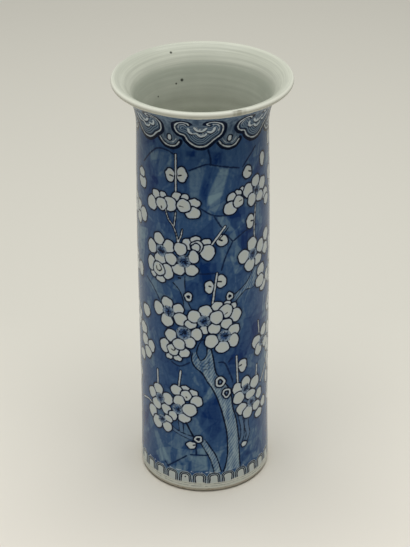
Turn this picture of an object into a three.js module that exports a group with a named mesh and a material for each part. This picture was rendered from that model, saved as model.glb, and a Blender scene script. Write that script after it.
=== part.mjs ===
// Porcelain beaker vase: a tall sleeve body on a low foot ring, with a flared mouth and a rolled lip.
// Such a vase is thrown in sections, which are luted rim to rim with slip while leather-hard.
// A coil of soft clay is pressed into the inside of each seam before the whole is glazed and fired.
// Millimetres, +Z up. The vase stands on z = 0 and is round about the Z axis.
import * as THREE from "three";

// Driving sizes of the whole vase
const VASE_HEIGHT = 300;
const BODY_RADIUS = 45;
const WALL = 4.2;

// Foot and base
const FOOT_RADIUS = 46.1; // where the trimmed bevel meets the glazed wall
const FOOT_BEVEL_WIDTH = 1.7;
const FOOT_BEVEL_HEIGHT = 3.3;
const FOOT_BEVEL_TURN = 0.4; // share of the bevel's height and width where it turns, which rounds it
const FOOT_SPREAD_TOP = 60; // the wall widens towards the foot below this height
const FOOT_RING_WIDTH = 5.6; // flat unglazed ring that the vase stands on
const FOOT_RING_INNER_BEVEL = 0.8;
const RECESS_DEPTH = 7;
const RECESS_DRAFT = 1.4; // the recess narrows by this much from mouth to roof
const RECESS_CROWN = 0.8; // the roof of the recess rises towards the middle
const BASE_THICKNESS = 6.5;
const FLOOR_FILLET = 7;

// Seams between the thrown sections
const BASE_SEAM_HEIGHT = 34;
const NECK_SEAM_BELOW_RIM = 60;
const COIL_HEIGHT = 4.4;
const COIL_DEPTH = 1.7; // how far the coil is let into the wall
const COIL_BULGE = 0.6;

// Neck, flare and lip
const TAPER_START = 160; // the wall draws in towards the neck above this height
const NECK_RADIUS = 43.55;
const NECK_BELOW_RIM = 36;
const LIP_RADIUS = 59.3;
const LIP_ROLL_RADIUS = 2.1;
const LIP_UNDER_SLOPE = 26; // degrees above level where the flare runs into the lip outside
const LIP_OVER_SLOPE = 24; // the same inside
const FLARE_START_REACH = 19; // how far the outside runs on upwards before it turns out
const FLARE_END_REACH = 10.5;
const BOWL_REACH = 4.5; // how far the inside of the lip runs on before it dips
const THROAT_SPREAD = 8.25; // the throat, where the mouth tips over into the neck, is wider than the neck
const THROAT_BELOW_RIM = 7.8;
const THROAT_SLOPE = 49; // degrees above level
const THROAT_REACH = 4.3;
const NECK_REACH = 11;

// Finger ridges that the thrower leaves inside the sleeves
const RIDGE_PITCH = 14;
const RIDGE_HEIGHT = 0.4;

// Facets
const TURN_SEGMENTS = 60;
const CURVE_STEPS = 7;
const BOWL_STEPS = 4;
const TAPER_STEPS = 4;
const HALFWAY = 0.5; // where a low arch has its one point between crown and foot

// Heights worked out from the sizes above
const neckHeight = VASE_HEIGHT - NECK_BELOW_RIM;
const neckSeamHeight = VASE_HEIGHT - NECK_SEAM_BELOW_RIM;
const bodySeamHeight = (BASE_SEAM_HEIGHT + neckSeamHeight) / 2;
const floorHeight = RECESS_DEPTH + BASE_THICKNESS;

const point = (radius, height) => new THREE.Vector2(radius, height);

// Height of a low arch, as a share of its crown, at a share of the way out to its foot.
const arch = (share) => 1 - share ** 2;

// Point at some distance from another, in a direction in degrees above level, outwards.
function off(from, degrees, distance) {
  const angle = THREE.MathUtils.degToRad(degrees);
  return point(from.x + distance * Math.cos(angle), from.y + distance * Math.sin(angle));
}

// A profile that doesn't touch the axis runs back to its first point.
const closed = (profile) => [...profile, profile[0].clone()];

// Outside radius of the wall at a height between the foot's bevel and the neck.
function outerRadius(height) {
  if (height < FOOT_SPREAD_TOP) {
    const low = (FOOT_SPREAD_TOP - height) / (FOOT_SPREAD_TOP - FOOT_BEVEL_HEIGHT);
    return BODY_RADIUS + (FOOT_RADIUS - BODY_RADIUS) * low ** 2;
  }
  if (height > TAPER_START) {
    const high = (height - TAPER_START) / (neckHeight - TAPER_START);
    return BODY_RADIUS - (BODY_RADIUS - NECK_RADIUS) * high ** 2;
  }
  return BODY_RADIUS;
}

const innerRadius = (height) => outerRadius(height) - WALL;

// Radius of the rebate that the clay coil sits in, at a seam.
const rebateRadius = (seam) => innerRadius(seam) + COIL_DEPTH;

// Outside of the wall from one height up to another, with more points where it curves.
function outsideWall(from, to) {
  const bends = [FOOT_SPREAD_TOP, TAPER_START].filter((h) => h > from && h < to);
  const stops = [from, ...bends, to];
  const wall = [point(outerRadius(from), from)];
  for (let i = 1; i < stops.length; i++) {
    const straight = stops[i - 1] >= FOOT_SPREAD_TOP && stops[i] <= TAPER_START;
    const steps = straight ? 1 : TAPER_STEPS;
    for (let step = 1; step <= steps; step++) {
      const height = THREE.MathUtils.lerp(stops[i - 1], stops[i], step / steps);
      wall.push(point(outerRadius(height), height));
    }
  }
  return wall;
}

// Rim under a seam, from the outside inwards: the butt face, then the rebate's wall and shelf.
function rimBelowSeam(seam) {
  const shelf = seam - COIL_HEIGHT / 2;
  const rebate = rebateRadius(seam);
  return [
    point(outerRadius(seam), seam),
    point(rebate, seam),
    point(rebate, shelf),
    point(innerRadius(seam), shelf),
  ];
}

// Rim over a seam, from the inside outwards.
function rimAboveSeam(seam) {
  const shelf = seam + COIL_HEIGHT / 2;
  const rebate = rebateRadius(seam);
  return [
    point(innerRadius(seam), shelf),
    point(rebate, shelf),
    point(rebate, seam),
    point(outerRadius(seam), seam),
  ];
}

// Inside of a sleeve from its upper rebate down to its lower one, with the thrower's finger ridges.
function ridgedWall(from, to) {
  const ridges = Math.max(1, Math.round((from - to) / RIDGE_PITCH));
  const wall = [];
  for (let half = 1; half < 2 * ridges; half++) {
    const height = THREE.MathUtils.lerp(from, to, half / (2 * ridges));
    wall.push(point(innerRadius(height) - (half % 2 ? RIDGE_HEIGHT : 0), height));
  }
  return wall;
}

// Points of a quarter-circle corner that turns from a wall into a floor.
function floorCorner(wallRadius, floor) {
  return new THREE.EllipseCurve(
    wallRadius - FLOOR_FILLET, floor + FLOOR_FILLET, FLOOR_FILLET, FLOOR_FILLET, 0, -Math.PI / 2, true,
  ).getPoints(TAPER_STEPS);
}

// Foot ring, recessed base and the lowest part of the wall, turned from one thick thrown section.
function footAndBase() {
  const ringOuter = FOOT_RADIUS - FOOT_BEVEL_WIDTH;
  const ringInner = ringOuter - FOOT_RING_WIDTH;
  const recessMouth = ringInner - FOOT_RING_INNER_BEVEL;
  const wallTop = BASE_SEAM_HEIGHT - COIL_HEIGHT / 2;
  return [
    point(0, RECESS_DEPTH + RECESS_CROWN),
    point(recessMouth * HALFWAY, RECESS_DEPTH + RECESS_CROWN * arch(HALFWAY)),
    point(recessMouth - RECESS_DRAFT, RECESS_DEPTH),
    point(recessMouth, FOOT_RING_INNER_BEVEL),
    point(ringInner, 0),
    point(ringOuter, 0),
    point(FOOT_RADIUS - FOOT_BEVEL_WIDTH * FOOT_BEVEL_TURN, FOOT_BEVEL_HEIGHT * FOOT_BEVEL_TURN),
    ...outsideWall(FOOT_BEVEL_HEIGHT, BASE_SEAM_HEIGHT).slice(0, -1),
    ...rimBelowSeam(BASE_SEAM_HEIGHT),
    ...floorCorner(innerRadius(wallTop), floorHeight),
    point(0, floorHeight),
  ];
}

// Thrown sleeve between two seams.
function sleeve(lowSeam, highSeam) {
  const top = highSeam - COIL_HEIGHT / 2;
  const bottom = lowSeam + COIL_HEIGHT / 2;
  return closed([
    ...outsideWall(lowSeam, highSeam).slice(0, -1),
    ...rimBelowSeam(highSeam),
    ...ridgedWall(top, bottom),
    ...rimAboveSeam(lowSeam).slice(0, -1),
  ]);
}

// Neck and trumpet mouth, with the edge rolled over into a round lip.
function flaredMouth() {
  const under = THREE.MathUtils.degToRad(LIP_UNDER_SLOPE);
  const over = THREE.MathUtils.degToRad(LIP_OVER_SLOPE);
  const rollCentre = point(LIP_RADIUS - LIP_ROLL_RADIUS, VASE_HEIGHT - LIP_ROLL_RADIUS);
  const roll = new THREE.EllipseCurve(
    rollCentre.x, rollCentre.y, LIP_ROLL_RADIUS, LIP_ROLL_RADIUS,
    under - Math.PI / 2, over + Math.PI / 2, false,
  ).getPoints(CURVE_STEPS + 1);
  const rollStart = roll[0];
  const rollEnd = roll.at(-1);
  const neckOut = point(NECK_RADIUS, neckHeight);
  const neckIn = point(NECK_RADIUS - WALL, neckHeight);
  const lean = (2 * (BODY_RADIUS - NECK_RADIUS)) / (neckHeight - TAPER_START);
  const outside = new THREE.CubicBezierCurve(
    neckOut,
    point(neckOut.x - lean * FLARE_START_REACH, neckOut.y + FLARE_START_REACH),
    off(rollStart, LIP_UNDER_SLOPE, -FLARE_END_REACH),
    rollStart,
  ).getPoints(CURVE_STEPS);
  const throat = point(neckIn.x + THROAT_SPREAD, VASE_HEIGHT - THROAT_BELOW_RIM);
  const bowl = new THREE.CubicBezierCurve(
    rollEnd,
    off(rollEnd, LIP_OVER_SLOPE, -BOWL_REACH),
    off(throat, THROAT_SLOPE, THROAT_REACH),
    throat,
  ).getPoints(BOWL_STEPS);
  const neckInside = new THREE.CubicBezierCurve(
    throat,
    off(throat, THROAT_SLOPE, -THROAT_REACH),
    point(neckIn.x - lean * NECK_REACH, neckIn.y + NECK_REACH),
    neckIn,
  ).getPoints(CURVE_STEPS);
  return closed([
    ...outsideWall(neckSeamHeight, neckHeight).slice(0, -1),
    ...outside,
    ...roll.slice(1),
    ...bowl.slice(1),
    ...neckInside.slice(1),
    ...rimAboveSeam(neckSeamHeight).slice(0, -1),
  ]);
}

// Coil of clay in the rebate of a seam: flat where it meets the sections, rounded towards the inside.
function seamCoil(seam) {
  const rebate = rebateRadius(seam);
  const face = innerRadius(seam);
  const half = COIL_HEIGHT / 2;
  return closed([
    point(rebate, seam - half),
    point(rebate, seam + half),
    point(face, seam + half),
    point(face - COIL_BULGE * arch(HALFWAY), seam + half * HALFWAY),
    point(face - COIL_BULGE, seam),
    point(face - COIL_BULGE * arch(HALFWAY), seam - half * HALFWAY),
    point(face, seam - half),
  ]);
}

const cobaltOnGlaze = new THREE.MeshStandardMaterial({ color: 0x3c5478, roughness: 0.15, metalness: 0 });
const paleGlaze = new THREE.MeshStandardMaterial({ color: 0xc9cdc2, roughness: 0.12, metalness: 0 });
const bareClay = new THREE.MeshStandardMaterial({ color: 0xc8bfae, roughness: 0.7, metalness: 0 });

const vase = new THREE.Group();

// Turns a profile of (radius, height) points about the Z axis into a named piece of the vase.
function addPiece(name, profile, material) {
  const piece = new THREE.Mesh(new THREE.LatheGeometry(profile, TURN_SEGMENTS), material);
  piece.name = name;
  piece.rotation.x = Math.PI / 2;
  vase.add(piece);
}

addPiece("foot_and_base", footAndBase(), paleGlaze);
addPiece("lower_sleeve", sleeve(BASE_SEAM_HEIGHT, bodySeamHeight), cobaltOnGlaze);
addPiece("upper_sleeve", sleeve(bodySeamHeight, neckSeamHeight), cobaltOnGlaze.clone());
addPiece("flared_mouth", flaredMouth(), paleGlaze.clone());
addPiece("base_seam_coil", seamCoil(BASE_SEAM_HEIGHT), bareClay);
addPiece("body_seam_coil", seamCoil(bodySeamHeight), bareClay.clone());
addPiece("neck_seam_coil", seamCoil(neckSeamHeight), bareClay.clone());

export default vase;
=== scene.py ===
# Blue and white porcelain beaker vase, painted with plum blossom over cracked ice.
# Metres in Blender, +Z up, the vase's axis on Z and its photographed side towards -Y.
import math

import bpy
import numpy as np
from mathutils import Matrix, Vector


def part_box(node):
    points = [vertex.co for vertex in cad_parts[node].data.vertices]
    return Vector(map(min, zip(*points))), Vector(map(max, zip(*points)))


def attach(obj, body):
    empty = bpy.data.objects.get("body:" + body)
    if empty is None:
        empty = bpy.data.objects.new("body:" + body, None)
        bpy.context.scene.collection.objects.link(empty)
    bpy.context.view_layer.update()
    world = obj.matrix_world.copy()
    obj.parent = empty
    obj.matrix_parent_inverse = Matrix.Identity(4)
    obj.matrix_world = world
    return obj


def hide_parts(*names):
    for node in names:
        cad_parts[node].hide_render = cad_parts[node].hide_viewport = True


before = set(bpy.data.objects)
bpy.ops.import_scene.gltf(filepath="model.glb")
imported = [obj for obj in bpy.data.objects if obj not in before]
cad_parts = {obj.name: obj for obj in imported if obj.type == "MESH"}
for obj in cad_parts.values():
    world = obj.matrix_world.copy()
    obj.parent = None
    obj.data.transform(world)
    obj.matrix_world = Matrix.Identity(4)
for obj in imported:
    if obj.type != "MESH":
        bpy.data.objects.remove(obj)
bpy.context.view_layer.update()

MM = 0.001
scene = bpy.context.scene

# Camera
# The vase is seen from above on a long lens: the eye is 1.26 m off, looks 30 degrees down and leans
# by less than half a degree. Its place and direction were matched to the rims of the mouth and the foot.
EYE = (0.94, -1016.6, 741.4)
LOOK_DOWN = 30.088
LEAN = -0.394
SENSOR = 36.0
FOCAL_PIXELS = 1709.16
IMAGE_HEIGHT = 547

camera_data = bpy.data.cameras.new("camera")
camera_data.sensor_width = SENSOR
camera_data.lens = FOCAL_PIXELS * SENSOR / IMAGE_HEIGHT
camera_data.clip_start = 0.05
camera_data.clip_end = 30
camera = bpy.data.objects.new("camera", camera_data)
scene.collection.objects.link(camera)
camera.matrix_world = (
    Matrix.Translation([c * MM for c in EYE])
    @ Matrix.Rotation(math.radians(90 - LOOK_DOWN), 4, "X")
    @ Matrix.Rotation(math.radians(LEAN), 4, "Z")
)
scene.camera = camera
scene.view_settings.view_transform = "Standard"

# Studio light
# One big soft box hangs level over the table and a weak even room light fills in, so flat things are
# lit fully and upright walls get less than half of it. The pale walls of the room are seen only by the
# camera and as reflections in a glaze.
BOX_SIZE = 1.5
BOX_HEIGHT = 1.9
BOX_WATTS = 46.0
BOX_COLOUR = (1.0, 0.995, 0.98)
ROOM_LIGHT = 0.06
ROOM_MIRRORED = 0.45
ROOM_COLOUR = "f6f6f1"


def linear(code):
    """An sRGB hex colour as the linear colour that a shader reads."""
    parts = [int(code[i : i + 2], 16) / 255 for i in (0, 2, 4)]
    return (*[p / 12.92 if p <= 0.04045 else ((p + 0.055) / 1.055) ** 2.4 for p in parts], 1.0)


def fill(node, values):
    """Fills a node's inputs: outputs are linked, hex colours made linear, and other values set."""
    for name, value in values.items():
        if isinstance(value, bpy.types.NodeSocket):
            node.id_data.links.new(value, node.inputs[name])
        else:
            node.inputs[name].default_value = linear(value) if isinstance(value, str) else value


def add(tree, kind, values=None, out=0, **settings):
    """Adds a node with its settings, values and links, and returns one of its outputs."""
    made = tree.nodes.new("ShaderNode" + kind)
    for name, value in settings.items():
        setattr(made, name, value)
    fill(made, values or {})
    return made.outputs[out]


def finish(name):
    """A new material and its tree of nodes."""
    made = bpy.data.materials.new(name)
    made.use_nodes = True
    return made, made.node_tree


box_data = bpy.data.lights.new("soft_box", "AREA")
box_data.shape = "SQUARE"
box_data.size = BOX_SIZE
box_data.energy = BOX_WATTS
box_data.color = BOX_COLOUR
soft_box = bpy.data.objects.new("soft_box", box_data)
soft_box.location = (0.0, 0.0, BOX_HEIGHT)
scene.collection.objects.link(soft_box)

room = bpy.data.worlds.new("room")
room.use_nodes = True
scene.world = room
tree = room.node_tree
seen = [add(tree, "LightPath", out=rays) for rays in ("Is Camera Ray", "Is Glossy Ray")]
seen = add(tree, "Math", {0: seen[0], 1: seen[1]}, operation="MAXIMUM")
level = add(tree, "MapRange", {"Value": seen, "To Min": ROOM_LIGHT, "To Max": ROOM_MIRRORED})
fill(tree.nodes["Background"], {"Color": ROOM_COLOUR, "Strength": level})

# Table top and backdrop
# A sheet of pale matt paper runs away under the vase. Its colour is made a little greyer behind the
# vase than in front of it.
PAPER_SIZE = 6.0
PAPER_NEAR, PAPER_FAR = "dfdbd1", "cfcdc3"
NEAR_Y, FAR_Y = -0.12, 0.2
PAPER_ROUGHNESS, PAPER_SHINE = 0.9, 0.1

paper_mesh = bpy.data.meshes.new("paper")
edge = PAPER_SIZE / 2
corners = [(-edge, -edge, 0), (edge, -edge, 0), (edge, edge, 0), (-edge, edge, 0)]
paper_mesh.from_pydata(corners, [], [(0, 1, 2, 3)])
paper = bpy.data.objects.new("paper", paper_mesh)
scene.collection.objects.link(paper)
matt_paper, tree = finish("matt_paper")
where = add(tree, "TexCoord", out="Object")
away = add(tree, "SeparateXYZ", {0: where}, "Y")
away = add(tree, "MapRange", {"Value": away, "From Min": NEAR_Y, "From Max": FAR_Y})
tint = {"Factor": away, 6: PAPER_NEAR, 7: PAPER_FAR}
tint = add(tree, "Mix", tint, 2, data_type="RGBA")
fill(tree.nodes["Principled BSDF"], {
    "Base Color": tint, "Roughness": PAPER_ROUGHNESS, "Specular IOR Level": PAPER_SHINE,
})
paper_mesh.materials.append(matt_paper)

# Foot and base
# The thick lowest section, thrown with the floor in it and trimmed on the wheel when leather-hard: a
# recess is turned out under it, which leaves a flat ring to stand on. The ring is wiped free of glaze.
BASE_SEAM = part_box("lower_sleeve")[0][2] / MM
BODY_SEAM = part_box("upper_sleeve")[0][2] / MM
NECK_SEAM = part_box("flared_mouth")[0][2] / MM
BODY_RADIUS = 45.0
FOOT_RADIUS = 46.1
NECK_RADIUS = 43.55
WALL = 4.2
BEVEL_TOP = 3.3
FOOT_SPREAD_TOP = 60.0
TAPER_START, NECK = 160.0, 264.0
RECESS_CENTRE, RECESS_ROOF = 7.8, 7.0
FLOOR, FILLET = 13.5, 7.0
COIL_HALF, COIL_DEPTH = 2.2, 1.7
COLUMNS = 448  # faces round the vase
ROW = 0.6  # height of the faces on the painted outside
SHARP = 38  # a bend over so many degrees is an edge
CLEAR, BISCUIT, PAINTED = 0, 1, 2  # material slots


def outer_radius(z):
    """Outside of the wall between the foot's bevel and the neck."""
    if z < FOOT_SPREAD_TOP:
        low = (FOOT_SPREAD_TOP - z) / (FOOT_SPREAD_TOP - BEVEL_TOP)
        return BODY_RADIUS + (FOOT_RADIUS - BODY_RADIUS) * low**2
    if z > TAPER_START:
        return BODY_RADIUS - (BODY_RADIUS - NECK_RADIUS) * ((z - TAPER_START) / (NECK - TAPER_START)) ** 2
    return BODY_RADIUS


def upright_rows(low, high):
    """Points up the outside of a section, one for each row of faces."""
    count = round((high - low) / ROW)
    return [(outer_radius(z), z) for z in np.linspace(low, high, count + 1)]


def rebate(seam, upwards):
    """The step that the clay coil of a seam sits in, from the butt face inwards."""
    r, shelf = outer_radius(seam) - WALL, seam + (COIL_HALF if upwards else -COIL_HALF)
    return [(r + COIL_DEPTH, seam), (r + COIL_DEPTH, shelf), (r, shelf)]


# Clear glaze on the white body: a wet skin. Its greenish grey in the throat is painted shade, and the
# paler glaze down the bore is painted light against the shade deep inside, as is the palest glaze over
# the outer roll of the lip, on its shaded underside. It keeps the turns of the thrower's fingers and a
# few iron specks. Its shine is weak, so that the lip mirrors the lamp softly.
# Painted shade greys the throat; painted light pales the bore and the outer roll of the lip.
GLAZE_BOWL, GLAZE_STREAK, THROAT_PAINTED_SHADE = "b4b7aa", "a7aa9e", "a1a699"
BORE_PAINTED_LIGHT, LIP_PAINTED_LIGHT = "ced1c4", "dfe0d3"
GLAZE_ROUGHNESS = 0.2
GLAZE_SHINE = 0.08
TURN_PITCH, TURN_DRIFT = 1.6, 0.8  # the turns in mm, and how fast they change on the way round
CLOUDINESS = 18.0  # patch size that moves the edges of the painted throat shade and bore light, in mm
TURN_SHARE, CLOUD_SHARE, STREAK_BIAS = 0.5, 0.4, -0.45  # how both shift the painted edges
TURN_RELIEF = 0.12  # mm
STREAK = (0.42, 0.6)  # level of the turns at which a streak begins, and at which it is full
THROAT, BORE = (0.2912, 0.2868), (0.285, 0.256)  # heights in metres
LIP = (0.0575, 0.0592)  # distances from the axis in metres
CHIP = (0.1, 0.7)  # depths of the nick in mm
CHIPPED, SPECK_COLOUR = "bebdae", "3a3c36"
SPECKS = (  # direction in degrees, distance from the axis, height, size
    (-156, 51.2, 296.3, 0.85), (-161, 41.8, 279.5, 1.05), (-155, 41.3, 277.8, 0.65),
    (-133, 40.2, 272.9, 0.6),
)

clear_glaze, tree = finish("clear_glaze_on_white_body")
where = add(tree, "TexCoord", out="Object")
x, y, z = (add(tree, "SeparateXYZ", {0: where}, axis) for axis in "XYZ")
flat = add(tree, "CombineXYZ", {"X": x, "Y": y})
reach = add(tree, "VectorMath", {0: flat}, "Value", operation="LENGTH")
climb = add(tree, "Math", {0: reach, 1: z}, operation="ADD")
climb = add(tree, "Math", {0: climb, 1: 1000 / TURN_PITCH}, operation="MULTIPLY")
turn = add(tree, "Math", {0: x, 1: y}, operation="ARCTAN2")
turn = add(tree, "Math", {0: turn, 1: TURN_DRIFT}, operation="MULTIPLY")
swirl = add(tree, "CombineXYZ", {"X": climb, "Y": turn})
turns = add(tree, "TexNoise", {"Vector": swirl, "Scale": 0.5, "Detail": 3.0, "Roughness": 0.6})
clouding = add(tree, "TexNoise", {"Vector": where, "Scale": 1000 / CLOUDINESS, "Detail": 2.0})
streaks = add(tree, "Math", {0: turns, 1: TURN_SHARE, 2: STREAK_BIAS}, operation="MULTIPLY_ADD")
streaks = add(tree, "Math", {0: clouding, 1: CLOUD_SHARE, 2: streaks}, operation="MULTIPLY_ADD")
chip = add(tree, "Attribute", out="Fac", attribute_name="chip")
# Bands of painted shade in the throat, and of painted light down the bore and on the lip's roll
throat_shade, down, lip, chip, darker = (
    add(tree, "MapRange", {"Value": value, "From Min": begins, "From Max": full})
    for value, (begins, full) in ((z, THROAT), (z, BORE), (reach, LIP), (chip, CHIP), (turns, STREAK))
)
throat_shade = add(tree, "Math", {0: throat_shade, 1: streaks}, operation="ADD", use_clamp=True)
down = add(tree, "Math", {0: down, 1: streaks}, operation="SUBTRACT", use_clamp=True)
glazes = [(darker, GLAZE_STREAK), (throat_shade, THROAT_PAINTED_SHADE), (down, BORE_PAINTED_LIGHT)]
glazes += [(lip, LIP_PAINTED_LIGHT), (chip, CHIPPED)]
for degrees, r, height, size in SPECKS:
    a = math.radians(degrees)
    spot = (r * math.sin(a) * MM, -r * math.cos(a) * MM, height * MM)
    away = add(tree, "VectorMath", {0: where, 1: spot}, "Value", operation="DISTANCE")
    fade = {"Value": away, "From Min": 1.3 * size * MM, "From Max": 0.6 * size * MM}
    glazes.append((add(tree, "MapRange", fade), SPECK_COLOUR))
colour = GLAZE_BOWL
for amount, paint in glazes:
    colour = add(tree, "Mix", {"Factor": amount, 6: colour, 7: paint}, 2, data_type="RGBA")
swell = add(tree, "Bump", {"Height": turns, "Strength": 0.5, "Distance": TURN_RELIEF * MM})
fill(tree.nodes["Principled BSDF"], {
    "Base Color": colour, "Normal": swell,
    "Roughness": GLAZE_ROUGHNESS, "Specular IOR Level": GLAZE_SHINE,
})

# Biscuit: fired clay with no glaze on it, a dry warm white with a fine grain and the brown freckles of
# iron in the clay. The grain is drawn coarser than the real one, so that it shows.
GRAIN, FRECKLE, GRAIN_RELIEF = 0.7, 3.0, 0.1  # sizes in mm
BISCUIT_ROUGHNESS, BISCUIT_SHINE = 0.75, 0.3
CLAY, CLAY_GRAIN, CLAY_FRECKLE = "bdb7a8", "d3cec2", "a8977e"

biscuit, tree = finish("unglazed_biscuit")
where = add(tree, "TexCoord", out="Object")
grain = add(tree, "TexNoise", {"Vector": where, "Scale": 1000 / GRAIN, "Detail": 3.0})
freckles = add(tree, "TexNoise", {"Vector": where, "Scale": 1000 / FRECKLE, "Detail": 4.0})
freckles = add(tree, "MapRange", {"Value": freckles, "From Min": 0.58, "From Max": 0.72})
colour = CLAY
for amount, paint in ((grain, CLAY_GRAIN), (freckles, CLAY_FRECKLE)):
    colour = add(tree, "Mix", {"Factor": amount, 6: colour, 7: paint}, 2, data_type="RGBA")
rough = add(tree, "Bump", {"Height": grain, "Strength": 0.6, "Distance": GRAIN_RELIEF * MM})
fill(tree.nodes["Principled BSDF"], {
    "Base Color": colour, "Normal": rough,
    "Roughness": BISCUIT_ROUGHNESS, "Specular IOR Level": BISCUIT_SHINE,
})

cobalt, cobalt_tree = finish("cobalt_under_clear_glaze")  # its nodes follow the painting
outsides = []  # each painted piece, and the points up its painted outside


def turned(name, outside, rest, outside_share=0.5):
    """Turns a closed profile round Z: its painted outside, upwards, then (point, finish) for its rest."""
    points = [*outside, *[p for p, finish in rest]]
    finishes = [PAINTED] * (len(outside) - 1) + [CLEAR] * bool(outside) + [finish for p, finish in rest]
    angle = 2 * np.pi * np.arange(COLUMNS) / COLUMNS
    starts, places = [], []
    for r, z in points:
        starts.append(len(places))
        circle = zip(np.sin(angle), np.cos(angle))
        places += [(0.0, 0.0, z)] if r == 0 else [(r * s, -r * c, z) for s, c in circle]
    length = np.concatenate([[0], np.cumsum(np.hypot(*np.diff(np.array(points), axis=0).T))])
    length -= length[max(len(outside) - 1, 0)]
    total = length[-1] + math.dist(points[-1], points[0])
    spans = list(zip(range(len(points)), [*range(1, len(points)), 0]))
    spans = [(a, b) for a, b in spans if points[a][0] or points[b][0]]
    faces, uvs, slots = [], [], []
    for a, b in spans:
        painted = finishes[a] == PAINTED
        for i in range(COLUMNS):
            j = (i + 1) % COLUMNS
            corners = [(a, i), (a, i + 1), (b, i + 1), (b, i)]
            face = [starts[a] + i, starts[a] + j, starts[b] + j, starts[b] + i]
            if points[a][0] == 0:
                corners, face = [corners[0], *corners[2:]], [starts[a], *face[2:]]
            if points[b][0] == 0:
                corners, face = corners[:3], [*face[:2], starts[b]]
            faces.append(face)
            slots.append(finishes[a])
            for p, k in corners:
                if painted:
                    half = i >= COLUMNS // 2
                    across = 2 * k / COLUMNS - half
                    up = p / (len(outside) - 1)
                    uvs.append((0.002 + 0.996 * across, outside_share / 2 * (half + 0.99 * up)))
                else:
                    up = (total if p == 0 and a else length[p]) / total
                    up = outside_share + 0.005 + (0.99 - outside_share) * up
                    uvs.append((0.002 + 0.996 * k / COLUMNS, up))
    mesh = bpy.data.meshes.new(name)
    mesh.from_pydata((np.array(places) * MM).tolist(), [], faces)
    mesh.uv_layers.new(name="OFBake").data.foreach_set("uv", np.array(uvs, np.float32).ravel())
    mesh.polygons.foreach_set("material_index", slots)
    mesh.polygons.foreach_set("use_smooth", [True] * len(faces))
    mesh.set_sharp_from_angle(angle=math.radians(SHARP))
    for material in (clear_glaze, biscuit, cobalt):
        mesh.materials.append(material)
    piece = bpy.data.objects.new(name, mesh)
    scene.collection.objects.link(piece)
    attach(piece, "root")
    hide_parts(name.removesuffix("_glazed"))
    if outside:
        outsides.append((piece, outside))
    return piece


wall_at_floor = outer_radius(BASE_SEAM - COIL_HALF) - WALL
recess = [(0, RECESS_CENTRE), (12, 7.72), (19, 7.6), (28, 7.35), (36.1, RECESS_ROOF)]
recess += [(36.6, 6.6), (37.0, 5.2)]
ring = [(37.9, 1.2), (38.1, 0.55), (38.8, 0), (44.4, 0), (44.8, 0.35), (45.5, 1.4)]
corner = [
    (wall_at_floor - FILLET * (1 - math.cos(a)), FLOOR + FILLET * (1 - math.sin(a)))
    for a in np.linspace(0, math.pi / 2, 12)
]
inside = rebate(BASE_SEAM, False) + corner + [(25, FLOOR), (14, FLOOR), (0, FLOOR)]
foot = turned(
    "foot_and_base_glazed",
    upright_rows(BEVEL_TOP, BASE_SEAM),
    [(p, CLEAR) for p in inside + recess] + [(p, BISCUIT) for p in ring],
)

# Sleeves
# Two plain cylinders, thrown without a floor and luted rim to rim with slip. The thrower's fingers leave
# low rings up the inside. Outside the seams are scraped flush, so that nothing of them shows.
RING_PITCH, RING_HEIGHT = 14.0, 0.4


def inside_rows(top, bottom, step=3.5):
    """Points down the inside of a section, between its ends."""
    heights = np.linspace(top, bottom, round((top - bottom) / step) + 1)[1:-1]
    swell = [RING_HEIGHT / 2 * (1 - math.cos(2 * math.pi * z / RING_PITCH)) for z in heights]
    return [(outer_radius(z) - WALL - s, float(z)) for z, s in zip(heights, swell)]


for name, low, high in (
    ("lower_sleeve_glazed", BASE_SEAM, BODY_SEAM),
    ("upper_sleeve_glazed", BODY_SEAM, NECK_SEAM),
):
    inside = rebate(high, False) + inside_rows(high - COIL_HALF, low + COIL_HALF)
    inside += rebate(low, True)[::-1]
    sleeve = turned(name, upright_rows(low, high), [(p, CLEAR) for p in inside], 0.84)

# Flared mouth
# The neck opens in a trumpet, thrown thinner towards its edge, which is rolled over into a round lip.
# An old nick in the lip shows at the front right.
RIM = 300.0
LIP_RADIUS, ROLL_RADIUS = 59.3, 2.1
UNDER_SLOPE, OVER_SLOPE, THROAT_SLOPE = 26, 24, 49  # degrees above level
THROAT_SPREAD, THROAT_BELOW_RIM = 8.25, 7.8
NECK_PULL, LIP_PULL = 19.0, 10.5  # how straight the trumpet leaves its two ends
BOWL_PULL, THROAT_PULL, BORE_PULL = 4.5, 4.3, 11.0  # and how straight the inside passes its own
NICKS = (  # direction in degrees, half width, depth
    (22.9, 2.0, 0.7), (19.7, 1.2, 0.45), (26.4, 1.3, 0.3),
)


def bezier(a, b, c, d, steps):
    """Points of a cubic curve after its first, with its four control points in (radius, height)."""
    points = []
    for t in np.linspace(0, 1, steps + 1)[1:]:
        shares = ((1 - t) ** 3, 3 * t * (1 - t) ** 2, 3 * t * t * (1 - t), t**3)
        points.append(tuple(sum(s * p[k] for s, p in zip(shares, (a, b, c, d))) for k in (0, 1)))
    return points


def off(start, degrees, distance):
    """Point at some distance from another, in a direction above level."""
    a = math.radians(degrees)
    return start[0] + distance * math.cos(a), start[1] + distance * math.sin(a)


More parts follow.
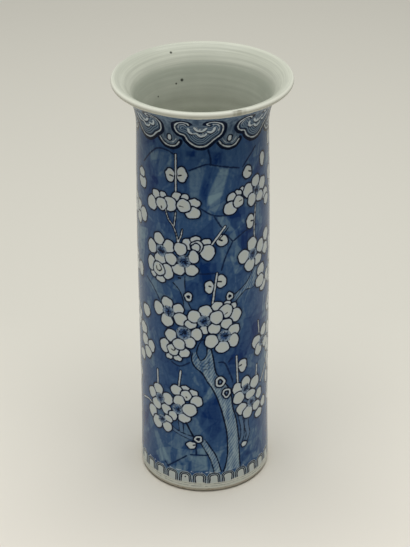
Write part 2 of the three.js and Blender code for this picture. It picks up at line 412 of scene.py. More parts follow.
taper = 2 * (BODY_RADIUS - NECK_RADIUS) / (NECK - TAPER_START)
roll_centre = (LIP_RADIUS - ROLL_RADIUS, RIM - ROLL_RADIUS)
roll_start = off(roll_centre, UNDER_SLOPE - 90, ROLL_RADIUS)
neck_out, neck_in = (NECK_RADIUS, NECK), (NECK_RADIUS - WALL, NECK)
straight_up = (NECK_RADIUS - NECK_PULL * taper, NECK + NECK_PULL)
flare = bezier(neck_out, straight_up, off(roll_start, UNDER_SLOPE, -LIP_PULL), roll_start, 82)
roll = [off(roll_centre, a, ROLL_RADIUS) for a in np.linspace(UNDER_SLOPE - 90, OVER_SLOPE + 90, 19)[1:]]
throat = (neck_in[0] + THROAT_SPREAD, RIM - THROAT_BELOW_RIM)
above, below = off(throat, THROAT_SLOPE, THROAT_PULL), off(throat, THROAT_SLOPE, -THROAT_PULL)
bowl = bezier(roll[-1], off(roll[-1], OVER_SLOPE, -BOWL_PULL), above, throat, 14)
tip = bezier(throat, below, (neck_in[0] - BORE_PULL * taper, NECK + BORE_PULL), neck_in, 24)
inside = roll + bowl + tip + inside_rows(NECK, NECK_SEAM + COIL_HALF, 2.5)
inside += rebate(NECK_SEAM, True)[::-1]
outside = upright_rows(NECK_SEAM, NECK) + flare
mouth = turned("flared_mouth_glazed", outside, [(p, CLEAR) for p in inside], 0.55)

# The nick bites the outer flank of the roll. Its depth goes to the glaze as chip.
chipped = []
for vertex in mouth.data.vertices:
    x, y, z = vertex.co / MM
    r = math.hypot(x, y)
    flank = min(max(4 * (r - roll_centre[0]) / ROLL_RADIUS - 2, 0), 1)
    sunk = 0
    for degrees, half_width, depth in NICKS:
        aside = (math.atan2(x, -y) - math.radians(degrees)) * LIP_RADIUS / half_width
        sunk = max(sunk, flank * depth * math.exp(-(aside**4)))
    chipped.append(min(sunk, 1))
    vertex.co = (x * (1 - sunk / r) * MM, y * (1 - sunk / r) * MM, z * MM)
mouth.data.attributes.new("chip", "FLOAT", "POINT").data.foreach_set("value", chipped)

# Seam coils
# A coil of soft clay is thumbed into the inside of each seam to hold it. It shows there as a low rounded
# ring under the glaze.
COIL_BULGE = 0.6

for name, seam in (
    ("base_seam_coil", BASE_SEAM),
    ("body_seam_coil", BODY_SEAM),
    ("neck_seam_coil", NECK_SEAM),
):
    r = outer_radius(seam) - WALL
    coil = [(r + COIL_DEPTH, seam - COIL_HALF), (r + COIL_DEPTH, seam + COIL_HALF)]
    for a in np.linspace(-math.pi / 2, math.pi / 2, 9):
        coil.append((r - COIL_BULGE * math.cos(a), seam - COIL_HALF * math.sin(a)))
    turned(name + "_glazed", [], [(p, CLEAR) for p in coil], 0.0)

# Ground of cracked ice
# The decoration is brushed in cobalt on the dry raw body, over all four sections, so it is laid on one
# sheet round the vase: u goes round in mm on the body's radius from the front, v goes up the wall in mm.
# Each layer of paint is kept as its distance in mm, negative inside, and the ground's pools as a tone.
GIRTH = 2 * math.pi * BODY_RADIUS
FAR = 9.0  # a distance at which a layer has ended
OUTLINE = 1.05  # width of the dark line round a white reserve
path = np.array([p for piece, outside in outsides for p in outside])
V = BEVEL_TOP + np.concatenate([[0], np.cumsum(np.hypot(*np.diff(path, axis=0).T))])
U = np.arange(COLUMNS) * GIRTH / COLUMNS
tone = np.zeros((len(V), COLUMNS))  # thin pale wash over 0, deep wash under it
crack = np.full_like(tone, FAR)  # lines of the ice
wash = crack.copy()  # blue of the twigs
bark = crack.copy()  # hatched wood of the trunk
cloud = crack.copy()  # hatched cloud heads of the collar
pale = crack.copy()  # body left bare, with its outline just outside it
bloom = crack.copy()  # soft blue-grey at the heart of a flower
dark = crack.copy()  # fine dark lines over everything
light = crack.copy()  # fine lines left pale
STROKE_LEAN, STROKE_SPREAD = 84, 26  # of the broad strokes, in degrees from level
STROKE_EDGE = 0.7  # over so many mm a stroke ends
RIM_TONE, RIM_WIDTH = 0.18, 0.6  # the darker rim of a stroke
CRACK_WIDTH, SIDE_CRACK_WIDTH = 0.95, 0.75
side = 1  # 1 while the front is painted, and -1 for the back, which mirrors it


def near(points, margin=3.0):
    """The part of the sheet round some points of the design, and u and v there."""
    us, vs = [p[0] for p in points], [p[1] for p in points]
    middle = (min(us) + max(us)) / 2
    centre = middle if side == 1 else GIRTH / 2 - middle
    across = side * ((U - centre + GIRTH / 2) % GIRTH - GIRTH / 2)
    columns = np.flatnonzero(np.abs(across) < (max(us) - min(us)) / 2 + margin)
    rows = np.flatnonzero((V > min(vs) - margin) & (V < max(vs) + margin))
    return np.ix_(rows, columns), middle + across[columns][None, :], V[rows][:, None]


def lay(field, here, d):
    """Adds a shape to a layer of paint."""
    field[here] = np.minimum(field[here], d)


def to_line(x, y, points):
    """Distance from each place to a line through the points."""
    best = np.full(np.broadcast(x, y).shape, np.inf)
    for (ax, ay), (bx, by) in zip(points, points[1:]):
        dx, dy = bx - ax, by - ay
        t = np.clip(((x - ax) * dx + (y - ay) * dy) / (dx * dx + dy * dy + 1e-9), 0, 1)
        best = np.minimum(best, np.hypot(x - ax - t * dx, y - ay - t * dy))
    return best


def in_shape(x, y, points):
    """Signed distance to a closed outline, negative inside."""
    inside = np.zeros(np.broadcast(x, y).shape, bool)
    for (ax, ay), (bx, by) in zip(points, points[1:] + points[:1]):
        if ay != by:
            inside ^= ((ay > y) != (by > y)) & (x < (bx - ax) * (y - ay) / (by - ay) + ax)
    d = to_line(x, y, points + points[:1])
    return np.where(inside, -d, d)


def eased(points, closed=False, steps=5):
    """A smooth line through given points."""
    p = [points[-1], *points, points[0], points[1]] if closed else [points[0], *points, points[-1]]
    out = []
    for a, b, c, d in zip(p, p[1:], p[2:], p[3:]):
        for t in np.arange(steps) / steps:
            shares = (-t + 2 * t**2 - t**3, 2 - 5 * t**2 + 3 * t**3, t + 4 * t**2 - 3 * t**3, t**3 - t**2)
            out.append(tuple(sum(s * q[k] for s, q in zip(shares, (a, b, c, d))) / 2 for k in (0, 1)))
    return out if closed else out + [points[-1]]


def stroke(points, width=0.8, field=None):
    """One line of the brush: dark, or in any other layer."""
    points = eased(points) if len(points) > 2 else points
    here, x, y = near(points)
    field = dark if field is None else field
    lay(field, here, to_line(x, y, points) - width / 2)


def pool(points, amount, softness=1.6):
    """A patch of paler or deeper wash inside a given outline."""
    here, x, y = near(points)
    tone[here] += amount * np.clip(0.5 - in_shape(x, y, points) / softness, 0, 1)


def broad_stroke(u, v, length, width, lean, amount):
    """One stroke of the wide brush. The wash dries a little darker along its edge."""
    c, s = math.cos(lean), math.sin(lean)
    half = (length + width) / 2
    here, x, y = near([(u - half, v - half), (u + half, v + half)], 0.0)
    along, across = (x - u) * c + (y - v) * s, (y - v) * c - (x - u) * s
    wander = 0.5 * np.sin(along / 2.7 + u) + 0.3 * np.sin(along / 1.3 + v)
    wedge = width / 2 * (1 + 0.8 * along / length)
    d = np.maximum(np.abs(along + 0.4 * across) - length / 2, np.abs(across + wander) - wedge)
    tone[here] += amount * np.clip(0.5 - d / STROKE_EDGE, 0, 1)
    tone[here] -= RIM_TONE * np.exp(-((d / RIM_WIDTH) ** 2))


hand = np.random.default_rng(4)
for count, shortest, longest, narrow, wide, strength in (
    (120, 18, 40, 8, 15, 0.6),
    (380, 9, 24, 3, 8, 0.5),
    (700, 5, 14, 0.9, 2.6, 0.45),
):
    for i in range(count):
        u, v = hand.uniform(0, GIRTH), hand.uniform(V[0], V[-1])
        length, width = hand.uniform(shortest, longest), hand.uniform(narrow, wide)
        lean = hand.normal(math.radians(STROKE_LEAN), math.radians(STROKE_SPREAD))
        broad_stroke(u, v, length, width, lean, hand.uniform(-strength, strength))

for side in (1, -1):
    for line in (
        [(-9, 253), (2, 257.5), (10, 256), (25, 252)], [(3, 270), (5, 262), (5, 257)],
        [(28, 252), (33, 257), (40, 263)],
        [(-47, 250), (-40, 258), (-33, 264), (-25, 265), (-20, 263)], [(7, 221), (9, 217), (12, 212)],
        [(16, 205), (20, 200)], [(-4, 228), (7, 221), (18, 220)], [(20, 200), (30, 205), (40, 206)],
        [(20, 200), (15, 190), (12, 180)], [(9, 178), (-4, 178)],
        [(-45, 165), (-38, 160), (-32, 152)], [(22, 150), (24, 158), (30, 160), (40, 160)],
        [(10, 108), (14, 107), (17, 100), (19.5, 93), (20, 90)], [(20, 110), (17, 107)],
        [(-23, 106), (-17, 104), (-10, 108)], [(-10, 31.5), (1, 31.5)], [(-6, 37), (-6, 32)],
        [(-13, 30), (-28, 17)], [(-30, 20), (-27, 17)], [(60, 240), (62, 220), (60, 212)],
        [(-64, 240), (-61, 215), (-62, 196)], [(62, 150), (61, 130), (66, 105)],
        [(-62, 150), (-60, 130), (-66, 100)], [(60, 60), (63, 45), (62, 25)],
        [(-66, 60), (-62, 45), (-64, 25)],
    ):
        stroke(line, CRACK_WIDTH, crack)
    for outline, amount in (
        ([(11.4, 254), (17.6, 253.5), (13, 235), (3, 228), (2.6, 233), (6.6, 244)], 0.9),
        ([(-9, 252), (0, 257), (2, 248), (-2, 240), (-4, 227), (-8.6, 229)], 0.4),
        ([(2.8, 257), (6.7, 255), (4, 243), (2, 229), (-2, 236), (0, 247)], -0.8),
        ([(-11, 266.5), (-4.4, 267), (-5, 263), (-11, 263)], -0.9),
        ([(3.5, 267), (12.8, 265), (12, 257), (4, 257)], -0.7),
        ([(-40, 260), (-21, 265), (-22, 246), (-38, 243)], 0.45),
        ([(9, 220), (29, 217), (30, 206), (12, 209)], 0.5),
        ([(24, 227), (34, 224), (30, 217), (22, 220)], -0.1),
        ([(-2, 187), (9, 186), (9, 171), (1, 167), (-3, 173)], -0.7),
        ([(11, 203), (22, 200), (20, 185), (12, 186)], 0.4),
        ([(0, 76), (10, 80), (12, 52), (6, 44), (-4, 57)], -0.6),
        ([(-41, 41), (-37, 42), (-26, 22), (-33, 19)], 0.6),
        ([(-10, 30), (1, 32), (2, 19), (-10, 17)], 0.9),
        ([(-5.5, 37.6), (1.5, 37), (0, 32), (-5.5, 32.5)], 0.9),
        ([(29, 48), (50, 39), (50, 20), (30, 29)], 0.3),
        ([(-55, 116), (-41, 124), (-42, 106), (-55, 98)], 0.3),
        ([(14, 113), (28, 111), (30, 95), (17, 97)], -0.5),
        ([(15, 202), (22, 199), (21, 188), (16, 190)], -0.7),
        ([(-25, 219), (-17, 216), (-18, 204), (-24, 206)], -0.55),
        ([(-33, 221), (-25, 222), (-25, 205), (-30, 207)], -0.5),
        ([(-35, 235), (-28, 232), (-27, 225), (-34, 227)], -0.4),
        ([(-36, 168), (-22, 166), (-23, 158), (-34, 157)], -0.5),
        ([(-22, 269), (-14, 268), (-12, 246), (-19, 244)], -0.4),
        ([(-27, 106), (-18, 104), (-18, 93), (-26, 95)], -0.45),
        ([(23, 213), (31, 215), (30, 202), (25, 202)], 0.6),
        ([(26, 232), (32, 231), (33, 222), (28, 223)], 0.5),
        ([(29, 24), (46, 22), (46, 17), (28, 17)], 0.7),
        ([(32, 254), (39, 252), (39, 238), (34, 240)], 0.45),
        ([(-37, 62), (-31, 63), (-31, 56), (-36, 57)], 0.4),
    ):
        pool(outline, amount)

# Plum tree
# A gnarled trunk forks from the foot to the clusters at half height, with straight young shoots, buds
# and open flowers. Petals are left white between their outlines, and the wood is hatched over a wash.
STAMENS = 19  # in the heart of a flower


def cover(here, d):
    """What lies inside a new shape hides the strokes under it."""
    for field in (dark, light, wash, bark, bloom, crack):
        field[here] = np.maximum(field[here], OUTLINE / 2 - d)


def reserve(here, d):
    """Leaves a shape white, with an outline between it and whatever it lies over."""
    pale[here] = np.where(d < OUTLINE / 2, d, np.maximum(np.minimum(pale[here], d), OUTLINE - d))
    cover(here, d)


def oval(x, y, u, v, ru, rv):
    """Distance to a hand-drawn oval, which is never quite an ellipse."""
    px, py = x - u, y - v
    k0, k1 = np.hypot(px / ru, py / rv), np.hypot(px / ru**2, py / rv**2)
    round_it = np.arctan2(py, px)
    uneven = 0.16 * np.sin(3 * round_it + u) + 0.13 * np.sin(5 * round_it + v)
    return k0 * (k0 - 1) / np.maximum(k1, 1e-6) + uneven


def petal(u, v, ru, rv=None):
    """A white petal, ru wide and rv high on each side of its middle."""
    rv = rv or ru
    here, x, y = near([(u - ru, v - rv), (u + ru, v + rv)])
    reserve(here, oval(x, y, u, v, ru, rv))


def heart(u, v, r):
    """The middle of an open flower: fine dark stamens over a pale disc, with dots at their ends."""
    here, x, y = near([(u - r, v - r), (u + r, v + r)])
    round_it = np.arctan2(y - v, x - u)
    ragged = 0.4 * np.sin(3 * round_it + u) + 0.3 * np.sin(5 * round_it + v)
    d = np.hypot(x - u, y - v) - r
    lay(bloom, here, d)
    lay(dark, here, np.abs(d + ragged) - 0.1)
    for a in np.arange(STAMENS) * 2 * math.pi / STAMENS:
        ray = a + hand.uniform(-0.12, 0.12)
        inner, outer = hand.uniform(0.5, 1.6), r * hand.uniform(0.62, 0.98)
        stroke([(u + k * math.cos(ray), v + k * math.sin(ray)) for k in (inner, outer)], 0.36)
        k = r * hand.uniform(0.7, 0.95)
        dot = (u + k * math.cos(a + 0.17), v + k * math.sin(a + 0.17))
        stroke([dot, dot], 0.5, dark if hand.uniform() < 0.5 else light)
    stroke([(u - 0.6, v - 0.4), (u + 0.1, v + 0.3), (u + 0.7, v - 0.2)], 1.0)


def flower(petals, *hearts):
    """White petals, each over the ones before it, and the hearts that show."""
    for p in petals:
        petal(*p)
    for one in hearts:
        heart(*one)


def bud(u, v, ru, rv, tick=None):
    """A closed bud, and the tick of the brush for its sepals."""
    petal(u, v, ru, rv)
    if tick:
        stroke(tick, 1.1)


def shoot(points, width=0.85):
    """A straight young shoot: one pale line with a dark edge on both sides."""
    stroke(points, width + 1.5)
    stroke(points, width, light)


def branch(left, right, edge=0.9, layer=None):
    """Wood between its two edges."""
    outline = eased(left) + eased(right)[::-1]
    here, x, y = near(outline)
    d = in_shape(x, y, outline)
    pale[here] = np.maximum(pale[here], OUTLINE - d)
    cover(here, d)
    layer = wash if layer is None else layer
    lay(layer, here, d)
    stroke(left, edge)
    stroke(right, edge)


def knot(u, v, ru, rv, du, dv):
    """A cut stub on the wood: a pale ring round a hollow, which is darkest at its rim."""
    petal(u, v, ru, rv)
    here, x, y = near([(u - ru, v - rv), (u + ru, v + rv)])
    hollow = oval(x, y, u, v, du, dv)
    lay(bloom, here, hollow)
    lay(dark, here, np.abs(hollow + 0.5) - 0.75)


for side in (1, -1):
    # Shoots that stand behind the blossom
    shoot([(-18.3, 263), (-18.3, 236)])
    shoot([(-26, 222), (-24, 216), (-20.5, 211.5), (-18, 205), (-17, 199)], 0.55)
    shoot([(-18.5, 222), (-19.5, 214), (-20, 211)], 0.55)
    shoot([(-14, 210), (-15, 205), (-17, 200)], 0.5)
    shoot([(39.5, 221), (38, 206), (38.5, 196)], 0.6)

    # Trunk and its fork
    branch(
        [(-8, 116), (-8.5, 110), (-6, 104.5), (-1.5, 100), (2, 93), (5, 88), (8, 81), (11, 71),
         (13.5, 61), (15.5, 50), (16.2, 40), (16, 30), (14.5, 21), (13, 16.5)],
        [(4.5, 121), (6.5, 110), (8, 100), (12, 94), (16.5, 87), (19, 80), (20, 70), (22.5, 60),
         (24, 50), (25, 40), (25.3, 30), (26, 16.5)],
        1.1, bark,
    )
    stroke([(-3.5, 110.5), (-1, 107.8), (2.5, 108.2), (4, 111)], 0.45)
    stroke([(-4.5, 107.5), (-0.5, 105.3), (4, 106.5)], 0.45)
    stroke([(-4, 104.5), (0.5, 102.8), (5.5, 104.5)], 0.45)
    lens = eased([(-2, 126), (-5, 118), (-4, 113), (-2, 110.5), (1, 113), (2, 118), (1, 126)], True)
    here, x, y = near(lens)
    bark[here] = np.maximum(bark[here], -in_shape(x, y, lens))
    stroke(lens, 0.9)
    stroke([(2.5, 96), (4.6, 91), (7, 86)], 0.5, light)

    # Side branches
    branch(
        [(-3.5, 43), (1, 34), (4, 27), (6.5, 16.5)],
        [(0, 45), (4, 38), (8, 30), (11.5, 16.5)],
        0.9, bark,
    )
    branch(
        [(-21, 169), (-18, 166), (-16, 163), (-14, 157), (-13.5, 150)],
        [(-12.5, 175), (-12.5, 166), (-11, 157), (-8, 150)],
        0.8,
    )
    branch(
        [(20, 159), (28, 163.5), (34, 169), (38, 176)],
        [(22, 154), (30, 160), (38, 160), (46, 172)],
        0.8, bark,
    )
    branch([(-24, 53), (-18, 49.5), (-8, 47)], [(-24, 49.5), (-17, 46.5), (-8, 43.5)], 0.7)
    branch([(-19, 59), (-18, 50)], [(-15.5, 59), (-15, 50)], 0.7)
    branch(
        [(30.5, 56), (30, 50), (31.5, 42), (30, 37)],
        [(34, 56), (33.5, 50), (35, 42), (32.5, 36)],
        0.7,
    )
    branch(
        [(24, 62), (26.5, 50), (26.5, 42), (24.5, 37)],
        [(27.5, 62), (29.5, 50), (29.5, 42), (27.5, 37)],
        0.7,
    )
    for one in (
        (11, 92, 3.3, 4.1, 1.8, 2.4), (15.5, 82, 2.9, 3.7, 1.7, 2.3), (-4.5, 45, 2.7, 2.7, 1.2, 1.3),
        (-10.3, 160, 2.3, 3.3, 1.0, 1.1), (17.8, 159, 2.3, 3.0, 1.0, 1.1),
    ):
        knot(*one)

    # Upper buds
    bud(-22.5, 248, 3.1, 4.6, [(-20.5, 247.5), (-22.5, 248)])
    bud(-14, 249.5, 3.3, 5.3, [(-16.5, 248.5), (-14.5, 249)])
    bud(32, 247, 3.6, 4.2, [(35, 246.5), (33, 247.5)])
    bud(48, 251, 2.8, 4.8)
    petal(-49, 235, 4.5)
    petal(-50, 241, 3.5, 3)
    petal(60.5, 261, 2.6, 5)

    # Clusters under the collar
    flower([
        (-34, 231, 3.2), (-28, 232, 2.4), (-38, 223.5, 4.2, 5), (-17.5, 233, 3.4), (-12, 233, 2.8),
        (-6, 230, 4.2, 2.9), (-7, 223, 5, 4), (-23, 227, 5.2, 4.9), (-29.5, 225.5, 4.2),
        (-13, 227.5, 4.5),
    ])
    stroke([(-29.6, 223.6), (-29.2, 222.4)], 1.1)
    stroke([(-16, 227), (-13, 226.5)], 0.7)
    petal(60, 236, 2.8, 5)
    flower([
        (52, 224, 4), (54, 219, 3.5), (47.5, 233.5, 4, 4.5), (32.5, 233.5, 4, 5), (40, 238, 3.8, 4),
        (36, 226, 3.7, 4.5), (44.5, 225.5, 4, 3.5),
    ], (41, 231, 3.2))
    flower([
        (27.3, 236.5, 1.2), (24, 234, 2.8, 2.2), (19.5, 232, 3.2), (18.5, 224.5, 4.7, 4.5),
        (24.5, 228, 3.6, 4),
    ])
    stroke([(27, 228.5), (25, 228)], 0.7)
    bud(34.3, 210.5, 3.2, 5, [(37, 210), (35, 210.5)])
    petal(-55, 214, 4, 4.5)
    petal(-55, 206, 3.5, 4)
    bud(-48, 211, 4, 5)
    bud(12.5, 202, 3.7, 4, [(10.5, 203), (12.5, 202)])
    shoot([(5, 199), (14.5, 212)], 0.9)
    stroke([(17, 211), (10.5, 203)], 0.8)

    # Double blossom, upper left
    flower([
        (-9.5, 200, 4.5, 4), (-5, 203.5, 3.2, 2.4), (2, 201.5, 3.2, 2.4), (2.8, 194.2, 4.6, 5.6),
        (-4.3, 198.5, 3.9), (-5, 197.8, 2.5),
    ])
    flower([
        (-32, 199, 4.2, 4.2), (-38.5, 191, 4, 5), (-24, 195.5, 3.9, 4.7), (-31, 184, 4.8, 4.2),
    ], (-30, 190.5, 4.2))
    flower([(-15.5, 195.5, 4.2, 4.5), (-17, 180, 4.5, 4), (-8, 180.5, 4.2, 4)], (-13, 186.5, 4.4))
    flower([(-6.5, 190.5, 3.2, 4.7), (-22.5, 186.5, 4.2)])
    flower([
        (-37, 171, 2.6), (-31, 169, 3.6, 2.4), (-39, 178, 4, 5.3), (-25.5, 176, 4.3, 5.5),
        (-32.5, 176, 4.8),
    ])
    stroke([(-31.5, 179.5), (-30, 177), (-31.5, 174.8), (-34, 175), (-34.5, 177.5)], 0.9)
    stroke([(-17, 173.5), (-15.8, 173.5)], 1.4)
    bud(3.7, 168, 2.8, 4.6, [(3.6, 168.6), (5, 168)])
    bud(11.8, 171.5, 3.2, 4.7, [(9.2, 171.7), (11.8, 171.3)])
    shoot([(9, 178), (5.8, 155)])

    # Right-hand flower and the blossom round the side
    flower([(61.5, 183, 2.8, 5), (62, 173, 2.6, 5), (56, 160, 3.4, 4.6), (-54, 167, 3.6, 5.2)])
    flower([
        (46, 169, 4.3, 4.7), (49, 156, 4), (45, 161, 5, 4.5), (53, 193, 3.8, 4.5), (52, 183, 3.8, 4),
        (28.5, 186, 4.3, 4.8), (36, 193, 4.2, 4.7), (45, 188, 4, 4.7), (42, 179, 4.2, 3.7),
        (34, 178, 4.5),
    ], (36.5, 185, 4.0))

    # Great cluster at half height
    flower([
        (-26, 152, 4.4, 4), (-33.5, 145.5, 4, 5), (-26.5, 138, 4.6), (-17.5, 149, 3.8, 4.1),
    ], (-25, 145.5, 4.2))
    petal(-16, 141.5, 4.7)
    flower([
        (9, 152.5, 3.6), (16, 153.5, 2.2), (20.5, 151, 2.2), (22, 143.5, 4.3, 5),
        (15.5, 138, 3.9, 3.6), (15, 148, 4.5, 5), (1, 149.5, 4.4, 4.1), (-9, 138.5, 4, 3),
        (0, 134.5, 3.2), (-6.5, 145, 4.3, 4.6),
    ])
    stroke([(14.2, 145.4), (16, 146.6)], 0.8)
    heart(0, 141.5, 4.2)
    flower([(7, 135.5, 4.1), (8.5, 144, 4.3, 4.9)])
    flower([(-23.5, 127, 4.3, 4.8), (-5, 131, 3.6, 4.5), (-10, 124, 4.1)], (-14, 131, 5.0))
    flower([
        (21, 132, 4.1), (20.5, 123.5, 3.9, 5), (12.5, 120, 4.7, 4.4), (5, 125.5, 4.3, 5.1),
    ], (14, 128.5, 4.5))
    flower([
        (-25, 110.5, 2.5), (-18.5, 110, 3, 1.9), (-28.5, 117.5, 3.8, 5.3), (-14, 115.5, 3.9, 3.7),
        (-22, 116, 4.2),
    ])
    petal(-17.5, 121.5, 4.3, 4.1)
    stroke([(-21, 118.3), (-20.3, 116.8), (-21.6, 115.6), (-23.3, 116.3)], 0.8)
    petal(-47, 137.5, 4.3, 4.6)
    petal(58.5, 136, 2.8, 5.5)

    # Shoots and buds between
    bud(28, 101, 3.3, 5, [(25.3, 101.3), (27, 101.6)])
    shoot([(23, 110), (24, 88)])
    shoot([(-35.7, 95), (-35.7, 83)])
    shoot([(-16.5, 100), (-18, 88)])
    shoot([(43.3, 130), (44.5, 120)])
    shoot([(42, 95), (41.5, 87)])
    shoot([(-55, 62), (-48, 64.5), (-43, 64)])
    petal(58.5, 103, 3.6, 4.8)
    petal(60, 116, 3, 5)
    flower([(54, 108, 3.8), (51, 119, 4.1), (41.5, 114, 4.6), (44, 107, 3.9, 4.6)], (48, 111.5, 3.6))
    flower([(-52, 121, 4.5), (-55, 98, 4), (-50, 112, 4.6), (-42, 111, 3.6, 4.4), (-46.5, 104, 4.3)])

    # Low cluster, left
    flower([(-13.5, 86, 3.2, 2.4), (-8, 83, 3.2, 2.8), (-20, 83.5, 4.3, 4), (-13, 80.5, 3.8, 4)])
    stroke([(-12.2, 78.8), (-12.8, 79.6)], 0.9)
    flower([
        (-35.5, 79, 4.2), (-42, 73, 3.7, 4.4), (-37.5, 66, 4.2), (-28.5, 65, 3.9), (-27, 74, 4.2, 4.7),
    ], (-34, 72, 3.9))
    flower([
        (-5.5, 76.5, 4, 4.2), (-18, 75, 4.1, 4.4), (-23, 61.5, 3.2, 3.6), (-14.5, 61.5, 4.4, 3.6),
    ], (-19, 68, 4.1))
    petal(-10.5, 69, 5)
    flower([
        (-27, 57, 3.2, 3), (-42, 57.5, 4.3, 5), (-37, 51, 4.2, 4.9), (-28, 50.5, 3.8, 4),
    ], (-32.5, 55, 3.4))
    stroke([(-13, 58), (-8, 47)], 1.4)
    bud(-9.5, 39.5, 3.3, 2.7, [(-8, 39.6), (-6.5, 40)])

    # Low cluster, right
    petal(57.5, 77, 2.4, 4.8)
    petal(51.5, 59.5, 3.4, 4)
    shoot([(54.8, 88.5), (47, 78.5)], 0.8)
    flower([
        (24, 83, 3.8, 4.6), (31, 86, 3.8, 4.4), (40, 82, 4.6), (25, 75, 4.3, 4.8), (35.5, 74, 4.6, 3.5),
    ], (31, 80.5, 3.7))
    flower([
        (45, 53.5, 4.3, 3.4), (27.5, 65, 4.1, 4.6), (33, 60, 4.4, 4.6), (42, 61.5, 4.1, 3.6),
        (45, 70, 3.4, 4.1),
    ], (36.5, 67, 3.8))
    petal(29.5, 34.5, 2.2, 1.8)

# Between the front and the back, one spray climbs each side of the vase
side = 1
for u in (GIRTH / 4, -GIRTH / 4):
    shoot([(u + 1, 262), (u, 236)])
    shoot([(u - 1, 205), (u - 2, 184)], 0.8)
    shoot([(u + 3, 118), (u + 2, 96)], 0.8)
    branch(
        [(u - 3.5, 19.5), (u - 5, 32), (u - 2, 44), (u - 4, 56)],
        [(u + 2.5, 19.5), (u, 32), (u + 2.5, 44), (u, 56)],
        0.8,
    )
    for at, v, r, first in (
        (u + 5, 214, 3.4, 40), (u - 1, 226, 3.8, 20), (u - 4, 159, 3.4, 70), (u + 3, 169, 4.0, 50),
        (u - 3, 137, 3.6, 95), (u + 6, 128, 3.4, 15), (u - 5, 90, 3.3, 30), (u + 2, 79, 3.9, 10),
        (u - 2.5, 61, 3.4, 60),
    ):
        petals = []
        for a in np.radians(first + 72 * np.arange(5)):
            petals.append((at + 1.5 * r * math.cos(a), v + 1.45 * r * math.sin(a), 4.1, 4.4))
        flower(petals, (at, v, r))
    bud(u - 4.5, 248, 3.0, 4.4, [(u - 2.6, 247.6), (u - 4.4, 248)])
    bud(u + 3.6, 196, 3.2, 4.4, [(u + 1.2, 196.4), (u + 3.4, 196)])
    bud(u - 2.6, 109, 3.2, 4.6, [(u - 0.4, 109.2), (u - 2.6, 109)])
    knot(u - 1.2, 40, 2.6, 3.2, 1.1, 1.3)
    stroke([(u - 9, 186), (u, 180), (u + 10, 187)], SIDE_CRACK_WIDTH, crack)
    stroke([(u - 10, 124), (u - 1, 127), (u + 9, 120)], SIDE_CRACK_WIDTH, crack)

# Collar of cloud heads
# Seven lobed cloud heads hang under the lip, with a small lappet between each two. A white line follows
# each outline between dark ones, and fine lines follow it inside.
HEADS = 7
COLLAR_TOP, BAND_FOOT = 297.6, 277.0
CLOUD_PITCH = 1.4  # fine lines in the cloud heads, in mm
BETWEEN_LINES = -1.25 * CLOUD_PITCH  # a depth at which a head is in the dark between two of them
HEAD_RING, LAPPET_RING = 2.6, 2.4  # how far their dark lines reach outside
RING_INSIDE, WHITE_RING = 1.3, 0.42  # how far the dark lines inside and the white ones do

cloud[:] = np.maximum(BAND_FOOT - V[:, None], BETWEEN_LINES)


def ringed(shape, drawn, reach, fill=None):
    """Lays a shape over the ground. Its drawn edge is a white line between two dark ones."""
    here, x, y = near(shape)
    d, line = in_shape(x, y, shape), to_line(x, y, drawn)
    cover(here, d - reach + 0.2)
    cloud[here] = np.where(d < 0, d - 0.4 if fill is None else fill, cloud[here])
    lay(dark, here, np.where(d > 0, line - reach, line - RING_INSIDE))
    lay(light, here, line - WHITE_RING)


def cloud_head(u):
    """A lobed head, its white curls over their dark shade, and its dots."""
    outline = eased([(u + a, b) for a, b in (
        (-8.3, 287.2), (-9.5, 289.2), (-13, 289.6), (-16.8, 286.3), (-17.3, 281.8), (-15, 279),
        (-11.7, 277.8), (-9.4, 273.8), (-5.2, 270.7), (-1, 270), (3, 271.2), (7.6, 275.3),
        (11.8, 278.8), (12.9, 284), (11.2, 288.3), (7, 290.8), (3.8, 290.3), (2.6, 288.4),
        (4.2, 287.2),
    )])
    ringed(outline, outline, HEAD_RING)
    for curl, width in (
        ([(-5.1, 284.8), (-3.9, 282.7), (-1.7, 281.8), (0.8, 282.6), (2.4, 284.6)], 1.3),
        ([(-3.4, 279.6), (-2.4, 278.2), (-0.8, 277.7), (1.1, 278.2), (2.3, 279.6)], 1.2),
        ([(-8.9, 283.6), (-8.5, 281.0), (-6.9, 279.9)], 1.5),
        ([(7.4, 284.6), (6.9, 282.3), (5.1, 280.8), (3.4, 281.4)], 1.4),
        ([(-6.8, 279.9), (-5.2, 279.6), (-3.8, 280.2)], 0.6),
        ([(-15.2, 283.8), (-14.4, 286.6), (-12.4, 287.6), (-10.2, 286.9)], 0.45),
        ([(6.2, 288.4), (8.8, 287.8), (10.4, 285.2), (9.9, 281.8)], 0.5),
    ):
        stroke([(u + a, b - 0.55 * width - 0.2) for a, b in curl], width)
        stroke([(u + a, b) for a, b in curl], width, light)
    for a, b in ((-3.5, 285.0), (-1.6, 284.4), (0.5, 284.9), (-1.9, 280.1), (0.3, 280.1)):
        stroke([(u + a, b), (u + a, b - 1.3)], 0.7, light)
        here, x, y = near([(u + a, b)])
        light[here] = np.maximum(light[here], 0.55 - np.hypot(x - u - a, y - b + 0.3))
        stroke([(u + a, b), (u + a, b - 0.5)], 0.7)


def lappet(u):
    """A small lappet, which hangs out from behind the heads beside it."""
    arc = eased([(u - 7.5, 273.6), (u - 5, 270.4), (u - 0.5, 268.6), (u + 4, 269.4), (u + 6.8, 272.6)])
    shape = [*arc, (u + 6.5, 281), (u - 7, 281)]
    ringed(shape, arc, LAPPET_RING, BETWEEN_LINES)
    inner = [(u - 4.9, 275), (u - 3.1, 272.4), (u - 0.2, 271.4), (u + 2.7, 272.0), (u + 4.7, 274.4)]
    stroke(inner, 0.45, light)
    stroke([(u - 0.2, 274.0), (u, 275.6)], 4.2)
    stroke([(u - 0.2, 274.0), (u, 275.6)], 2.3, light)


